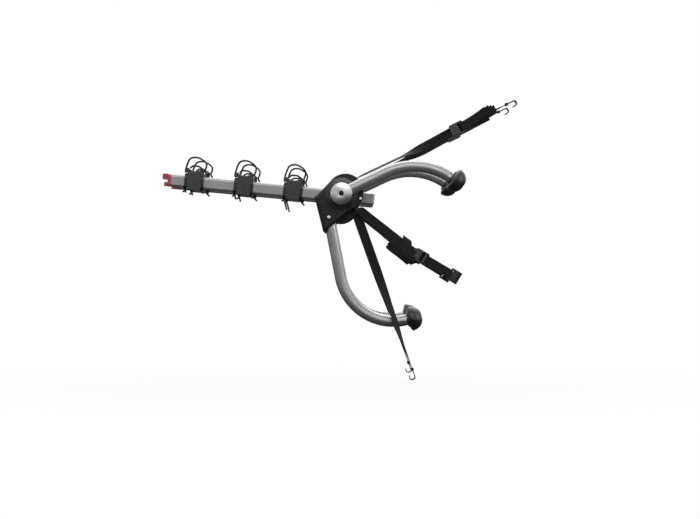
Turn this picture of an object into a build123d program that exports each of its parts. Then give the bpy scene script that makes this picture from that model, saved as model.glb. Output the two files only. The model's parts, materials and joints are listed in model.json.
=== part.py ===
"""Trunk mounted bike rack: legs, pads, hub, carrier arms, cradles and straps.

+X points forward to the car, +Y to the car's left and +Z up. The origin lies on the hub axis,
midway between the two hubs. Lengths are in millimetres.
"""

import os
from math import atan2, cos, radians, sin, sqrt

from build123d import *

os.makedirs("parts", exist_ok=True)

# Clearances
seat_gap = 0.3
running_gap = 0.05
overrun = 2.0

# Axle and hub stack, outwards from the middle
axle_radius = 8.0
axle_socket_radius = 6.2
axle_socket = 30.0
leg_radius = 18.0
leg_wall = 2.0
lower_leg_y = 214.0
plate_thickness = 4.0
disc_thickness = 7.0
disc_radius = 51.0
barrel_radius = 34.0
cap_thickness = 6.0
cap_hole_radius = 8.0
nut_radius = 12.5
nut_thickness = 9.0
nut_recess_radius = 15.0

plate_inner_y = lower_leg_y - leg_radius - seat_gap
plate_outer_y = lower_leg_y + leg_radius + seat_gap
bracket_inside_y = plate_inner_y - plate_thickness
bracket_outside_y = plate_outer_y + plate_thickness
disc_y = bracket_outside_y + seat_gap
barrel_y = disc_y + disc_thickness
upper_leg_y = barrel_y + leg_radius + seat_gap
cap_y = upper_leg_y + leg_radius + seat_gap
nut_seat_y = cap_y - nut_thickness - seat_gap
axle_end_y = cap_y - seat_gap

# Hub bracket outline, seen from the side
lobe_radius = 61.0
lobe_x = 12.6
lobe_z = 5.7
rear_corner_x = -85.0
rear_corner_z = -10.0
foot_corner_x = -56.0
foot_corner_z = -125.0
bend_radius = 12.0
corner_radius = 5.0
bead_radius = 55.0
bead_width = 3.0
bead_height = 1.6
cheek_x = -3.7
cheek_z = -33.2
cheek_radius = 57.3

# Lower leg
leg_bolt_x = -39.3
leg_bolt_z = -74.0
leg_bolt_radius = 4.0
leg_bolt_head_radius = 5.8
leg_bolt_head = 5.0
leg_nut_radius = 6.5
lower_leg_slope = 79.1
lower_leg_top = 30.0
lower_leg_corner = 372.4
lower_leg_rise = 13.7
lower_leg_run = 186.0
lower_leg_bend = 170.0

# Upper leg
upper_leg_slope = 25.3
upper_leg_corner = 273.5
upper_leg_drop = 34.7
upper_leg_run = 122.0
upper_leg_bend = 205.0
upper_leg_root = 30.0

# Rubber pads
pad_radius = 39.5
pad_collar_radius = 25.0
pad_collar = 4.0
pad_back = 8.0
pad_rim = 4.0
pad_groove = 1.0
pad_groove_radius = 38.0
pad_shoulder = 31.0
pad_shoulder_radius = 30.4
pad_front = 43.0
pad_face_radius = 9.0
pad_stem = 20.0
pad_stem_radius = leg_radius - leg_wall - seat_gap
pad_stem_taper = 1.3
pad_screw_back = 11.0
pad_screw_radius = 2.0
pad_screw_head_radius = 3.6
pad_screw_head = 2.0
pad_screw_length = 12.0

# Cross tube
cross_radius = 25.5
cross_wall = 3.0
bush_flange = 1.2

# Carrier arms
arm_y = 165.0
arm_width = 30.0
arm_height = 39.5
arm_corner = 8.0
arm_wall = 2.0
arm_tilt = 5.4
arm_drop = 6.9
arm_rear = 543.0
arm_front = 105.0
nose_radius = 9.0
end_cap_base = 11.0
end_cap_plug = 22.0
end_cap_top_length = 17.0
end_cap_top_height = 18.5
end_cap_low_length = 10.0
end_cap_low_height = 13.0
end_cap_round = 2.0

# Cradles
cradle_count = 3
cradle_first = 470.0
cradle_pitch = 157.6
cradle_width = 44.0
block_half = 22.0
collar_half = 31.0
collar_rise = 4.5
saddle_floor = 36.0
saddle_radius = 30.0
horn_top = 43.5
cradle_under = 3.5
saddle_bevel = 3.0
screw_radius = 2.8
screw_height = 1.4
ear_thickness = 4.0
ear_top = 44.5
ear_low = 31.5
ear_reach = 9.5
eye_pin_radius = 2.5
eye_radius = 5.5
eye_height = 34.0
catch_radius = 2.0
catch_height = 39.0
catch_reach = 5.8

# Cradle straps
tall_width = 13.0
tall_lane = 7.0
tall_tops = (79.8, 84.2, 86.4)
band_thickness = 5.4
tall_bend = 14.0
loop_back_shares = ((-0.88, 0.80), (-0.36, 1.0), (0.34, 1.0))
loop_front_shares = ((0.98, 0.72), (1.02, 0.42))
tab_reach = 8.0
tab_drop = 9.0
keeper_width = 7.0
keeper_lane = 11.0
ring_width = 7.0
ring_thickness = 3.0
keeper_top = 53.0
keeper_bend = 12.0
keeper_seat_share = 0.8
tail_shares = (0.25, 0.45, 1.0)
tail_length = 33.0
tail_lean = 12.0
nub_root = 0.8
nub_reach = 8.0
nub_drop = 6.0

# Webbing, buckles and hooks
web_width = 27.0
web_thickness = 2.4
pin_x = 33.6
pin_z = 43.2
pin_radius = 4.0
anchor_x = 40.0
anchor_z = -37.0
gather_width = 14.5
eye_spacing = 1.5
gather_turn_length = 26.0
web_steps = 6
rivet_x = 60.4
rivet_z = -14.8
rivet_radius = 3.0
rivet_head_radius = 4.5
rivet_head = 2.0

# Ends of the straps, and the buckles' middles
top_end = (521.1, -206.4, 283.0)
top_turn_shares = ((0.0, 0), (0.08, 12), (0.3, 12), (0.48, 90), (0.78, 90), (0.92, 14), (1.0, 0))
top_buckle_share = 0.684
top_tail_end = (478.0, -228.0, 272.0)
side_buckle_at = (248.8, -290.0, -197.0)
side_end = (338.6, -325.7, -251.1)
lower_end_at = (222.7, -263.3, -551.6)
lower_turn_shares = ((0.3, 90), (0.7, 36), (0.88, 6), (1.0, 0))

# Cam buckles
buckle_length = 45.0
buckle_width = 38.0
buckle_base = 2.5
buckle_ear = 3.6
buckle_bridge = 7.0
buckle_bridge_height = 3.0
cam_radius = 5.0
cam_hole = 2.0
lever_length = 25.0
lever_rise = 3.0
lever_thickness = 3.0

# Hooks
hook_width = 40.0
hook_bar_radius = 2.5
hook_length = 30.0
hook_thickness = 3.0
hook_mouth = 13.0
hook_return = 15.0
hook_bend = 5.5
hook_slot = 4.0


def side_plane(y):
    """A plane seen from the rack's right: x forward, y up, centred on the hub axis."""
    return Plane(origin=(0, y, 0), x_dir=(1, 0, 0), z_dir=(0, -1, 0))


def keep(name, piece):
    piece.label = name
    export_step(piece, f"parts/{name}.step")
    print(name, round(piece.volume))


def keep_pair(name, piece):
    """Writes the right-hand piece and its mirror image."""
    keep(f"{name}_right", piece)
    with BuildPart() as twin:
        mirror(piece, about=Plane.XZ)
    keep(f"{name}_left", twin.part)


def keep_both(name, piece):
    """Writes the right-hand pieces and their mirror images in one file."""
    with BuildPart() as both:
        add(piece)
        mirror(piece, about=Plane.XZ)
    keep(name, both.part)


def tangent_point(x, z, turn):
    """Where the line from a point touches the bracket's lobe, on the side that turn gives."""
    away = sqrt((x - lobe_x) ** 2 + (z - lobe_z) ** 2)
    middle = atan2(z - lobe_z, x - lobe_x)
    half = turn * atan2(sqrt(away**2 - lobe_radius**2), lobe_radius)
    return (lobe_x + lobe_radius * cos(middle + half), lobe_z + lobe_radius * sin(middle + half))


# Hub axle and its nuts
with BuildPart() as hub_axle:
    with BuildSketch(side_plane(0)):
        Circle(axle_radius)
    extrude(amount=axle_end_y, both=True)
    chamfer(hub_axle.edges().filter_by(GeomType.CIRCLE), length=axle_radius / 8)
    for end in (-axle_end_y, axle_end_y):
        with BuildSketch(side_plane(end)):
            Circle(axle_socket_radius)
        extrude(amount=axle_socket, both=True, mode=Mode.SUBTRACT)
keep("hub_axle", hub_axle.part)

with BuildPart() as axle_nut:
    with BuildSketch(side_plane(-nut_seat_y)):
        RegularPolygon(nut_radius, 6)
        Circle(axle_radius + running_gap, mode=Mode.SUBTRACT)
    extrude(amount=nut_thickness)
keep_both("axle_nuts", axle_nut.part)

# Hub bracket: a pressed channel round the lower leg, with a lobe round the axle
rear_touch = tangent_point(rear_corner_x, rear_corner_z, -1)
foot_touch = tangent_point(foot_corner_x, foot_corner_z, 1)
rear_corner = (rear_corner_x, rear_corner_z)
foot_corner = (foot_corner_x, foot_corner_z)
rear_edge_length = sqrt((foot_corner_x - rear_corner_x) ** 2 + (foot_corner_z - rear_corner_z) ** 2)
rear_edge_angle = atan2(rear_corner_z - foot_corner_z, rear_corner_x - foot_corner_x)

inside = Plane(
    origin=(foot_corner_x, -lower_leg_y, foot_corner_z),
    x_dir=(cos(rear_edge_angle), 0, sin(rear_edge_angle)),
    z_dir=(0, -1, 0),
)
with BuildPart() as bracket_inside:
    with BuildSketch(inside):
        with Locations((0, -plate_thickness)):
            Rectangle(4 * rear_edge_length, 2 * rear_edge_length, align=(Align.CENTER, Align.MAX))
    extrude(amount=(plate_outer_y - plate_inner_y) / 2, both=True)
    rear_face = bracket_inside.faces().sort_by(Axis(inside.origin, inside.y_dir))[-1]
    fillet(rear_face.edges().sort_by(SortBy.LENGTH)[-2:], bend_radius - plate_thickness)

with BuildPart() as hub_bracket:
    with BuildSketch(side_plane(-lower_leg_y)) as outline:
        with BuildLine():
            Line(rear_corner, rear_touch)
            ThreePointArc(rear_touch, (lobe_x + lobe_radius, lobe_z), foot_touch)
            Line(foot_touch, foot_corner)
            Line(foot_corner, rear_corner)
        make_face()
        fillet(outline.vertices().sort_by(Axis.X)[:2], corner_radius)
    extrude(amount=(bracket_outside_y - bracket_inside_y) / 2, both=True)
    bend_edges = [
        edge
        for edge in hub_bracket.edges().filter_by(GeomType.LINE)
        if abs(edge.length - rear_edge_length) < 4 * corner_radius
        and abs(edge.center().X - (rear_corner_x + foot_corner_x) / 2) < 2 * corner_radius
    ]
    fillet(bend_edges, bend_radius)
    add(bracket_inside.part, mode=Mode.SUBTRACT)
    with BuildSketch(side_plane(-bracket_inside_y)):
        with Locations((cheek_x, cheek_z)):
            Circle(cheek_radius)
    extrude(amount=plate_thickness)
    with BuildSketch(side_plane(-lower_leg_y)):
        Circle(axle_radius + running_gap)
        with Locations((leg_bolt_x, leg_bolt_z)):
            Circle(leg_bolt_radius + seat_gap)
        with Locations((pin_x, pin_z), (anchor_x, anchor_z)):
            Circle(pin_radius + running_gap)
        with Locations((rivet_x, rivet_z)):
            Circle(rivet_radius + running_gap)
    extrude(amount=bracket_outside_y, both=True, mode=Mode.SUBTRACT)
    with BuildSketch(side_plane(-bracket_outside_y)):
        with Locations((lobe_x, lobe_z)):
            Circle(bead_radius)
            Circle(bead_radius - bead_width, mode=Mode.SUBTRACT)
        Circle(disc_radius + overrun, mode=Mode.SUBTRACT)
        with Locations((rivet_x, rivet_z)):
            Circle(rivet_head_radius + overrun, mode=Mode.SUBTRACT)
    extrude(amount=bead_height)
keep_pair("hub_bracket", hub_bracket.part)

with BuildPart() as axle_spacer:
    with BuildSketch(side_plane(-lower_leg_y)):
        Circle(axle_radius * 1.6)
        Circle(axle_radius + running_gap, mode=Mode.SUBTRACT)
    extrude(amount=(plate_outer_y - plate_inner_y) / 2, both=True)
keep_both("axle_spacers", axle_spacer.part)

with BuildPart() as strap_pins:
    with BuildSketch(side_plane(-bracket_inside_y)):
        with Locations((pin_x, pin_z), (anchor_x, anchor_z)):
            Circle(pin_radius)
    extrude(amount=bracket_outside_y - bracket_inside_y)
keep_both("strap_pins", strap_pins.part)

with BuildPart() as plate_rivet:
    with BuildSketch(side_plane(-bracket_inside_y)):
        with Locations((rivet_x, rivet_z)):
            Circle(rivet_radius)
    extrude(amount=bracket_outside_y - bracket_inside_y)
    with BuildSketch(side_plane(-bracket_outside_y)):
        with Locations((rivet_x, rivet_z)):
            Circle(rivet_head_radius)
    extrude(amount=rivet_head)
    fillet(plate_rivet.edges().filter_by(GeomType.CIRCLE).sort_by(Axis.Y)[0], rivet_head / 2)
keep_both("plate_rivets", plate_rivet.part)


def along(start, angle, distance):
    """The point at a distance from start, in the direction that angle gives in the side view."""
    return (
        start[0] + distance * cos(radians(angle)),
        start[1] + distance * sin(radians(angle)),
    )


def pad_axis(angle):
    return Vector(cos(radians(angle)), 0, sin(radians(angle)))


def pad_screw_hole(route_end, angle, y):
    """The plane of the pad screw, on the tube's outer side, just behind its end."""
    place = Vector(route_end[0], y - leg_radius, route_end[1]) - pad_axis(angle) * pad_screw_back
    return Plane(origin=place, x_dir=(1, 0, 0), z_dir=(0, -1, 0))


def pad_on(route_end, angle, y):
    """A domed rubber foot whose stem plugs the tube that ends there in that direction."""
    forward = pad_axis(angle)
    seat = Plane(origin=(route_end[0], y, route_end[1]), x_dir=forward, z_dir=(0, -1, 0))
    with BuildPart() as pad:
        with BuildSketch(seat):
            with BuildLine():
                Polyline(
                    (pad_front, 0),
                    (-pad_stem, 0),
                    (-pad_stem, pad_stem_radius - pad_stem_taper),
                    (0, pad_stem_radius),
                    (0, leg_radius + seat_gap),
                    (-pad_collar, leg_radius + seat_gap),
                    (-pad_collar, pad_collar_radius),
                    (0, pad_collar_radius),
                )
                RadiusArc((0, pad_collar_radius), (pad_back, pad_radius), 2 * pad_back)
                Line((pad_back, pad_radius), (pad_back + pad_rim, pad_radius))
                Line((pad_back + pad_rim, pad_radius), (pad_back + pad_rim, pad_groove_radius))
                Line(
                    (pad_back + pad_rim, pad_groove_radius),
                    (pad_back + pad_rim + pad_groove, pad_groove_radius),
                )
                ThreePointArc(
                    (pad_back + pad_rim + pad_groove, pad_groove_radius),
                    (pad_shoulder, pad_shoulder_radius),
                    (pad_front, pad_face_radius),
                )
                Line((pad_front, pad_face_radius), (pad_front, 0))
            make_face()
        revolve(axis=Axis(seat.origin, forward))
        with BuildSketch(pad_screw_hole(route_end, angle, y)):
            Circle(pad_screw_radius + running_gap)
        extrude(amount=-(pad_screw_length + seat_gap), mode=Mode.SUBTRACT)
    return pad.part


def pad_screw_on(route_end, angle, y):
    hole = pad_screw_hole(route_end, angle, y)
    with BuildPart() as screw:
        with BuildSketch(hole.offset(seat_gap)):
            Circle(pad_screw_head_radius)
        extrude(amount=pad_screw_head)
        fillet(screw.edges().filter_by(GeomType.CIRCLE).sort_by(Axis.Y)[0], pad_screw_head / 2)
        with BuildSketch(hole.offset(seat_gap)):
            Circle(pad_screw_radius)
        extrude(amount=-pad_screw_length)
    return screw.part


# Lower leg: a bent tube, bolted in the bracket
leg_bolt_at = (leg_bolt_x, leg_bolt_z)
lower_top = along(leg_bolt_at, 180 - lower_leg_slope, lower_leg_top)
lower_corner = along(leg_bolt_at, -lower_leg_slope, lower_leg_corner)
lower_end = along(lower_corner, lower_leg_rise, lower_leg_run)

with BuildPart() as lower_leg:
    with BuildLine(side_plane(-lower_leg_y)) as lower_route:
        FilletPolyline(lower_top, lower_corner, lower_end, radius=lower_leg_bend)
    with BuildSketch(Plane(origin=lower_route.line @ 0, z_dir=lower_route.line % 0)):
        Circle(leg_radius)
        Circle(leg_radius - leg_wall, mode=Mode.SUBTRACT)
    sweep()
    with BuildSketch(side_plane(-lower_leg_y)):
        with Locations(leg_bolt_at):
            Circle(leg_bolt_radius + seat_gap)
    extrude(amount=leg_radius + overrun, both=True, mode=Mode.SUBTRACT)
    with BuildSketch(pad_screw_hole(lower_end, lower_leg_rise, -lower_leg_y)):
        Circle(pad_screw_radius + running_gap)
    extrude(amount=leg_radius, both=True, mode=Mode.SUBTRACT)
keep_pair("lower_leg", lower_leg.part)

with BuildPart() as leg_bolt:
    with BuildSketch(side_plane(-bracket_outside_y)):
        with Locations(leg_bolt_at):
            Circle(leg_bolt_head_radius)
    extrude(amount=leg_bolt_head)
    fillet(leg_bolt.edges().filter_by(GeomType.CIRCLE).sort_by(Axis.Y)[0], leg_bolt_head / 2)
    with BuildSketch(side_plane(-bracket_outside_y)):
        with Locations(leg_bolt_at):
            Circle(leg_bolt_radius)
    extrude(amount=-(bracket_outside_y - bracket_inside_y + leg_bolt_head))
with BuildPart() as leg_nut:
    with BuildSketch(side_plane(-bracket_inside_y)):
        with Locations(leg_bolt_at):
            RegularPolygon(leg_nut_radius, 6)
            Circle(leg_bolt_radius + running_gap, mode=Mode.SUBTRACT)
    extrude(amount=-leg_bolt_head)
keep_both("leg_bolts", leg_bolt.part + leg_nut.part)


keep_pair("lower_pad", pad_on(lower_end, lower_leg_rise, -lower_leg_y))
keep_both("lower_pad_screws", pad_screw_on(lower_end, lower_leg_rise, -lower_leg_y))

# Upper leg: a bent tube welded to a barrel that turns on the axle
upper_corner = along((0, 0), upper_leg_slope, upper_leg_corner)
upper_end = along(upper_corner, -upper_leg_drop, upper_leg_run)

with BuildPart() as upper_leg:
    with BuildLine(side_plane(-upper_leg_y)) as upper_route:
        FilletPolyline(
            along((0, 0), upper_leg_slope, upper_leg_root),
            upper_corner,
            upper_end,
            radius=upper_leg_bend,
        )
    with BuildSketch(Plane(origin=upper_route.line @ 0, z_dir=upper_route.line % 0)):
        Circle(leg_radius)
        Circle(leg_radius - leg_wall, mode=Mode.SUBTRACT)
    sweep()
    with BuildSketch(side_plane(-barrel_y)):
        Circle(barrel_radius)
    extrude(amount=cap_y - barrel_y)
    with BuildSketch(side_plane(-barrel_y)):
        Circle(axle_radius + running_gap)
    extrude(amount=cap_y - barrel_y, mode=Mode.SUBTRACT)
    with BuildSketch(side_plane(-nut_seat_y + seat_gap)):
        Circle(nut_recess_radius)
    extrude(amount=cap_y, mode=Mode.SUBTRACT)
    with BuildSketch(pad_screw_hole(upper_end, -upper_leg_drop, -upper_leg_y)):
        Circle(pad_screw_radius + running_gap)
    extrude(amount=leg_radius, both=True, mode=Mode.SUBTRACT)
keep_pair("upper_leg", upper_leg.part)
keep_pair("upper_pad", pad_on(upper_end, -upper_leg_drop, -upper_leg_y))
keep_pair("upper_pad_screw", pad_screw_on(upper_end, -upper_leg_drop, -upper_leg_y))

with BuildPart() as clutch_disc:
    with BuildSketch(Plane.XY):
        with BuildLine():
            Polyline(
                (axle_radius + running_gap, -disc_y),
                (disc_radius, -disc_y),
                (disc_radius, -disc_y - disc_thickness / 2),
                (barrel_radius, -disc_y - disc_thickness),
                (axle_radius + running_gap, -disc_y - disc_thickness),
                close=True,
            )
        make_face()
    revolve(axis=Axis.Y)
keep_pair("clutch_disc", clutch_disc.part)

with BuildPart() as hub_cap:
    with BuildSketch(Plane.XY):
        with BuildLine():
            Line((cap_hole_radius, -cap_y), (barrel_radius, -cap_y))
            Line((barrel_radius, -cap_y), (barrel_radius, -cap_y - cap_thickness / 3))
            RadiusArc(
                (barrel_radius, -cap_y - cap_thickness / 3),
                (cap_hole_radius, -cap_y - cap_thickness),
                2 * barrel_radius,
            )
            Line((cap_hole_radius, -cap_y - cap_thickness), (cap_hole_radius, -cap_y))
        make_face()
    revolve(axis=Axis.Y)
keep_pair("hub_cap", hub_cap.part)

# Carrier arms, cross tube and bushes
arm_forward = Vector(cos(radians(arm_tilt)), 0, -sin(radians(arm_tilt)))
arm_up = Vector(sin(radians(arm_tilt)), 0, cos(radians(arm_tilt)))
arm_section = Plane(origin=(0, -arm_y, -arm_drop), x_dir=(0, -1, 0), z_dir=arm_forward)


def arm_side(distance, lane=0.0):
    """A side-view plane on the arm's centreline, at a distance ahead of the hub."""
    place = Vector(0, -arm_y - lane, -arm_drop) + arm_forward * distance
    return Plane(origin=place, x_dir=arm_forward, z_dir=(0, -1, 0))


with BuildPart() as carrier_arm:
    with BuildSketch(arm_section.offset(-arm_rear)):
        RectangleRounded(arm_width, arm_height, arm_corner)
    extrude(amount=arm_rear + arm_front)
    fillet(carrier_arm.faces().sort_by(Axis.X)[-1].edges(), nose_radius * 0.85)
    with BuildSketch(arm_section.offset(-arm_rear)):
        RectangleRounded(
            arm_width - 2 * arm_wall, arm_height - 2 * arm_wall, arm_corner - arm_wall
        )
    extrude(amount=arm_rear + arm_front - nose_radius, mode=Mode.SUBTRACT)
    with BuildSketch(side_plane(-arm_y)):
        Circle(axle_radius + seat_gap)
    extrude(amount=arm_width, both=True, mode=Mode.SUBTRACT)
keep_pair("carrier_arm", carrier_arm.part)

cross_half = bracket_inside_y - 2 * seat_gap - bush_flange
with BuildPart() as cross_tube:
    with BuildSketch(side_plane(0)):
        Circle(cross_radius)
        Circle(cross_radius - cross_wall, mode=Mode.SUBTRACT)
    extrude(amount=cross_half, both=True)
    for middle in (-arm_y, arm_y):
        notch = Plane(origin=(0, middle, -arm_drop), x_dir=(0, -1, 0), z_dir=arm_forward)
        with BuildSketch(notch.offset(-2 * cross_radius)):
            RectangleRounded(
                arm_width + 2 * running_gap, arm_height + 2 * running_gap, arm_corner + running_gap
            )
        extrude(amount=4 * cross_radius, mode=Mode.SUBTRACT)
keep("cross_tube", cross_tube.part)

with BuildPart() as cross_bush:
    with BuildSketch(side_plane(-cross_half)):
        Circle(cross_radius)
        Circle(axle_radius + running_gap, mode=Mode.SUBTRACT)
    extrude(amount=bush_flange)
    with BuildSketch(side_plane(-cross_half)):
        Circle(cross_radius - cross_wall)
        Circle(axle_radius + running_gap, mode=Mode.SUBTRACT)
    extrude(amount=-(cross_half - arm_y - arm_width / 2 - seat_gap))
keep_both("cross_tube_bushes", cross_bush.part)

with BuildPart() as arm_end_cap:
    with BuildSketch(arm_section.offset(-arm_rear - end_cap_base)):
        RectangleRounded(arm_width, arm_height, arm_corner)
    extrude(amount=end_cap_base)
    with BuildSketch(arm_side(-arm_rear - end_cap_base)):
        with Locations((0, arm_height / 2)):
            Rectangle(
                end_cap_top_length,
                end_cap_top_height,
                align=(Align.MAX, Align.MAX),
            )
        with Locations((0, -arm_height / 2)):
            Rectangle(
                end_cap_low_length,
                end_cap_low_height,
                align=(Align.MAX, Align.MIN),
            )
    extrude(amount=arm_width / 2 - arm_corner / 2, both=True)
    fillet(arm_end_cap.faces().sort_by(Axis.X)[0].edges(), end_cap_round)
    with BuildSketch(arm_section.offset(-arm_rear)):
        RectangleRounded(
            arm_width - 2 * arm_wall - 2 * seat_gap,
            arm_height - 2 * arm_wall - 2 * seat_gap,
            arm_corner - arm_wall - seat_gap,
        )
    extrude(amount=end_cap_plug)
keep_pair("arm_end_cap", arm_end_cap.part)

# Cradles
arm_half = arm_height / 2
collar_height = arm_height + 2 * collar_rise
collar_width = arm_width + 2 * collar_rise
cradle_places = [-cradle_first + cradle_pitch * number for number in range(cradle_count)]
eye_u = block_half + eye_radius + seat_gap
catch_u = block_half + seat_gap + catch_radius
tall_front_u = catch_u + catch_radius + seat_gap + band_thickness / 2


def cradle_at(distance):
    """A saddle moulded round the arm, with an eye pin behind and a catch bar ahead."""
    with BuildPart() as cradle:
        with BuildSketch(arm_side(distance)) as block:
            with Locations((0, (horn_top - arm_half - cradle_under) / 2)):
                Rectangle(2 * block_half, horn_top + arm_half + cradle_under)
            fillet(block.vertices(), corner_radius / 2)
            with Locations((0, saddle_floor + saddle_radius)):
                Circle(saddle_radius, mode=Mode.SUBTRACT)
        extrude(amount=cradle_width / 2, both=True)
        saddle_edges = [
            edge
            for edge in cradle.edges().filter_by(GeomType.CIRCLE)
            if abs(edge.radius - saddle_radius) < seat_gap
        ]
        chamfer(saddle_edges, length=saddle_bevel)
        with BuildSketch(arm_section.offset(distance - collar_half)):
            RectangleRounded(collar_width, collar_height, arm_corner + collar_rise)
        extrude(amount=2 * collar_half)
        with BuildSketch(arm_section.offset(distance - collar_half)):
            RectangleRounded(
                arm_width + 2 * seat_gap, arm_height + 2 * seat_gap, arm_corner + seat_gap
            )
        extrude(amount=2 * collar_half, mode=Mode.SUBTRACT)
        ear_step = tall_width / 2 + seat_gap + ear_thickness / 2
        for lane in (tall_lane - ear_step, tall_lane + ear_step):
            with BuildSketch(arm_side(distance, lane)):
                with Locations((block_half - overrun, ear_low)):
                    Rectangle(
                        catch_reach + overrun, ear_top - ear_low, align=(Align.MIN, Align.MIN)
                    )
                with Locations((-block_half + overrun, ear_low)):
                    Rectangle(
                        ear_reach + overrun, ear_top - ear_low, align=(Align.MAX, Align.MIN)
                    )
            extrude(amount=ear_thickness / 2, both=True)
        with BuildSketch(arm_side(distance, tall_lane)):
            with Locations((-eye_u, eye_height)):
                Circle(eye_pin_radius)
            with Locations((catch_u, catch_height)):
                Circle(catch_radius)
        extrude(amount=ear_step, both=True)
    return cradle.part


for number, distance in enumerate(cradle_places, start=1):
    keep_pair(f"cradle_{number}", cradle_at(distance))

with BuildPart() as cradle_screws:
    for distance in cradle_places:
        with BuildSketch(arm_side(distance, cradle_width / 2)):
            Circle(screw_radius)
        extrude(amount=screw_height)
keep_both("cradle_screws", cradle_screws.part)


def tall_strap_at(distance, top):
    """A rubber strap that loops over the saddle, from its eye to the catch bar."""
    rise = top - eye_height
    back = [(share * eye_u, eye_height + height * rise) for share, height in loop_back_shares]
    front = [
        (share * (tall_front_u + band_thickness), eye_height + height * rise)
        for share, height in loop_front_shares
    ]
    with BuildPart() as strap:
        with BuildSketch(arm_side(distance, tall_lane)):
            with BuildLine():
                FilletPolyline(
                    (-eye_u - eye_radius + band_thickness / 2, eye_height),
                    *back,
                    *front,
                    (tall_front_u, catch_height),
                    radius=tall_bend,
                )
            trace(line_width=band_thickness)
            with BuildLine():
                Line(
                    (tall_front_u, catch_height),
                    (tall_front_u + tab_reach, catch_height - tab_drop),
                )
            trace(line_width=band_thickness)
            with Locations((-eye_u, eye_height)):
                Circle(eye_radius)
                Circle(eye_pin_radius + running_gap, mode=Mode.SUBTRACT)
        extrude(amount=tall_width / 2, both=True)
    return strap.part


for number, (distance, top) in enumerate(zip(cradle_places, tall_tops, strict=True), start=1):
    keep_pair(f"tall_strap_{number}", tall_strap_at(distance, top))


def keeper_strap_at(distance, tail_share):
    """A rubber strap: a ring round each collar, a low arch over the saddle and a tail below."""
    ring_u = block_half + seat_gap + ring_width / 2
    with BuildPart() as strap:
        for middle in (-ring_u, ring_u):
            with BuildSketch(arm_section.offset(distance + middle - ring_width / 2)):
                RectangleRounded(
                    collar_width + 2 * seat_gap + 2 * ring_thickness,
                    collar_height + 2 * seat_gap + 2 * ring_thickness,
                    arm_corner + collar_rise + seat_gap + ring_thickness,
                )
                RectangleRounded(
                    collar_width + 2 * seat_gap,
                    collar_height + 2 * seat_gap,
                    arm_corner + collar_rise + seat_gap,
                    mode=Mode.SUBTRACT,
                )
            extrude(amount=ring_width)
        ring_top = collar_height / 2 + seat_gap + ring_thickness / 2
        seat_u = keeper_seat_share * block_half
        seat_w = saddle_floor + saddle_radius - sqrt(saddle_radius**2 - seat_u**2)
        with BuildSketch(arm_side(distance, -keeper_lane)):
            with BuildLine():
                FilletPolyline(
                    (ring_u, ring_top),
                    (ring_u, horn_top),
                    (seat_u / 2, keeper_top),
                    (-seat_u / 2, keeper_top),
                    (-seat_u, seat_w + 2 * seat_gap + band_thickness / 2),
                    radius=keeper_bend / 2,
                )
            trace(line_width=band_thickness)
        extrude(amount=keeper_width / 2, both=True)
        with BuildSketch(arm_side(distance, keeper_lane)):
            with BuildLine():
                Line(
                    (-ring_u, -ring_top),
                    (-ring_u + tail_share * tail_lean, -ring_top - tail_share * tail_length),
                )
            trace(line_width=band_thickness)
            with BuildLine():
                Line(
                    (ring_u, -ring_top - nub_root),
                    (ring_u + nub_reach, -ring_top - nub_root - nub_drop),
                )
            trace(line_width=band_thickness)
        extrude(amount=keeper_width / 2, both=True)
        with BuildSketch(arm_side(distance, 0)):
            with BuildLine():
                Line(
                    (-ring_u, -ring_top - nub_root),
                    (-ring_u - nub_reach, -ring_top - nub_root - nub_drop),
                )
            trace(line_width=band_thickness)
        extrude(amount=keeper_width / 2, both=True)
    return strap.part


with BuildPart() as keeper_straps:
    for distance, tail_share in zip(cradle_places, tail_shares, strict=True):
        add(keeper_strap_at(distance, tail_share))
keep_pair("keeper_straps", keeper_straps.part)


def strap_across(forward, turn):
    """The width direction of webbing: turn 0 lies along the axle, turn 90 faces the side."""
    level = Vector(0, 1, 0)
    side = forward.cross(level).normalized()
    return level * cos(radians(turn)) + side * sin(radians(turn))


def strap_plane(point, forward, turn):
    """A plane on the webbing: x along it, y across it, z off its outer face."""
    across = strap_across(forward, turn)
    square = forward - across * forward.dot(across)
    return Plane(origin=point, x_dir=square, z_dir=square.cross(across))


def strap_side(plane):
    """The same place seen along the webbing's width: x along it, y off its outer face."""
    return Plane(origin=plane.origin, x_dir=plane.x_dir, z_dir=-plane.y_dir)


def ribbon(stations):
    """Webbing through stations, each a point, a turn and a width."""
    with BuildPart() as strip:
        for number, (point, turn, width) in enumerate(stations):
            before = stations[max(number - 1, 0)][0]
            after = stations[min(number + 1, len(stations) - 1)][0]
            forward = (after - before).normalized()
            across = strap_across(forward, turn)
            square = forward - across * forward.dot(across)
            section = Plane(origin=point, x_dir=across, z_dir=square)
            with BuildSketch(section):
                Rectangle(width, web_thickness)
        loft(ruled=True)
    return strip.part


def turning(start, finish, marks):
    """Stations from start to finish; marks give each share of the way, with turn and width."""
    stations = []
    for (share, turn, width), (next_share, next_turn, next_width) in zip(marks, marks[1:]):
        steps = web_steps if turn != next_turn else 1
        for step in range(steps):
            part = step / steps
            stations.append(
                (
                    start + (finish - start) * (share + (next_share - share) * part),
                    turn + (next_turn - turn) * part,
                    width + (next_width - width) * part,
                )
            )
    share, turn, width = marks[-1]
    stations.append((start + (finish - start) * share, turn, width))
    return stations


def pin_plane(place):
    return Plane(origin=place, x_dir=(1, 0, 0), z_dir=(0, -1, 0))


def eye_on(plane, bore, width):
    """A sewn eye of webbing round a pin or bar that lies along the plane's normal."""
    with BuildPart() as eye:
        with BuildSketch(plane):
            Circle(bore + web_thickness)
            Circle(bore, mode=Mode.SUBTRACT)
        extrude(amount=width / 2, both=True)
    return eye.part


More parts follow.
